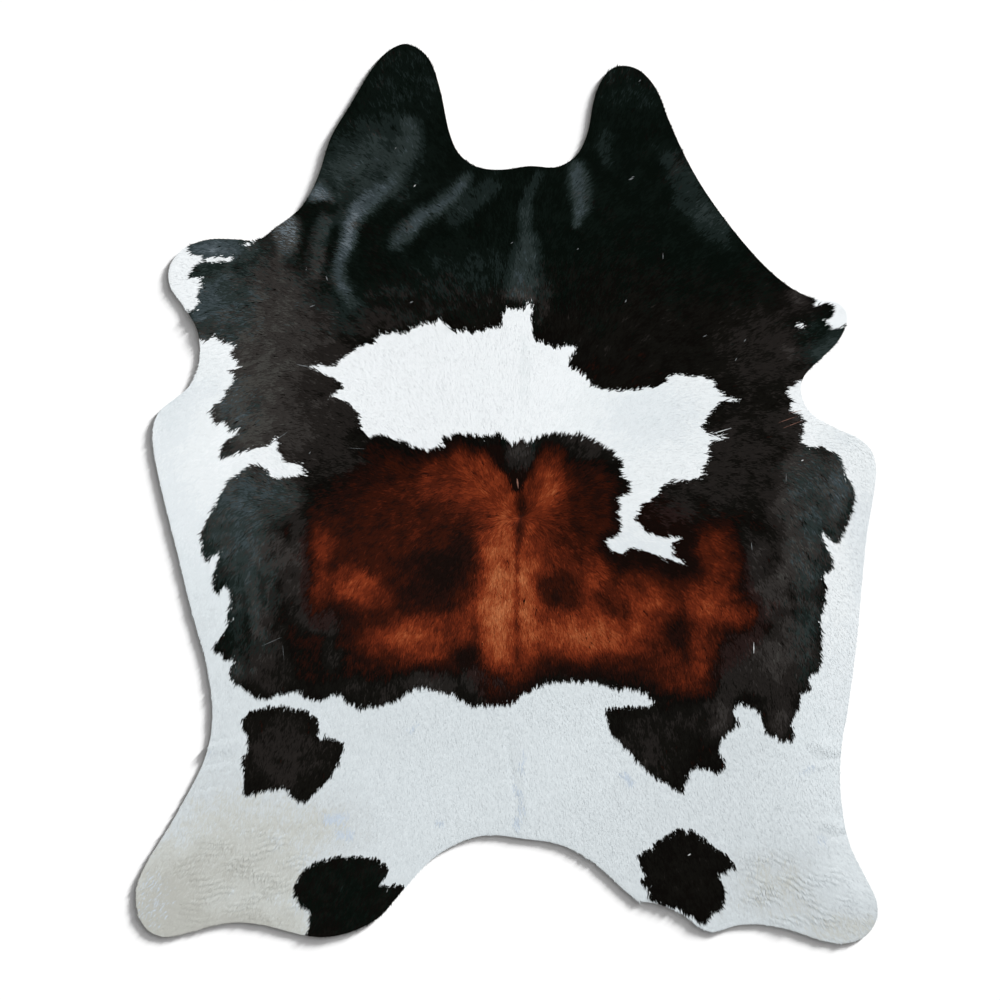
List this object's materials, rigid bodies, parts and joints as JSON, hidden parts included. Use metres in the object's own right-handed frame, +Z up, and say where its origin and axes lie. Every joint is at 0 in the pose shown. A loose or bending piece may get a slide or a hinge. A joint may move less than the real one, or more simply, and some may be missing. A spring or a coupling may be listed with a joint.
{
  "type": "cowhide rug",
  "caption": "Whole cowhide with its short hair coat, laid flat as a floor rug, with neck lobes, leg lobes and soft waves across the neck.",
  "frame": {"origin": "middle of the hide's box, on the floor that its underside lies on", "axes": "+Y towards the head end, +X to the right as seen from above with the head end up, +Z up through the hair side"},
  "size_m": [1.8138, 2.2, 0.012],
  "materials": {
    "hair_on_hide": "short glossy hair left on tanned leather, white with black and red-brown patches"
  },
  "bodies": {
    "root": {"hide": "hair_on_hide"}
  },
  "joints": []
}
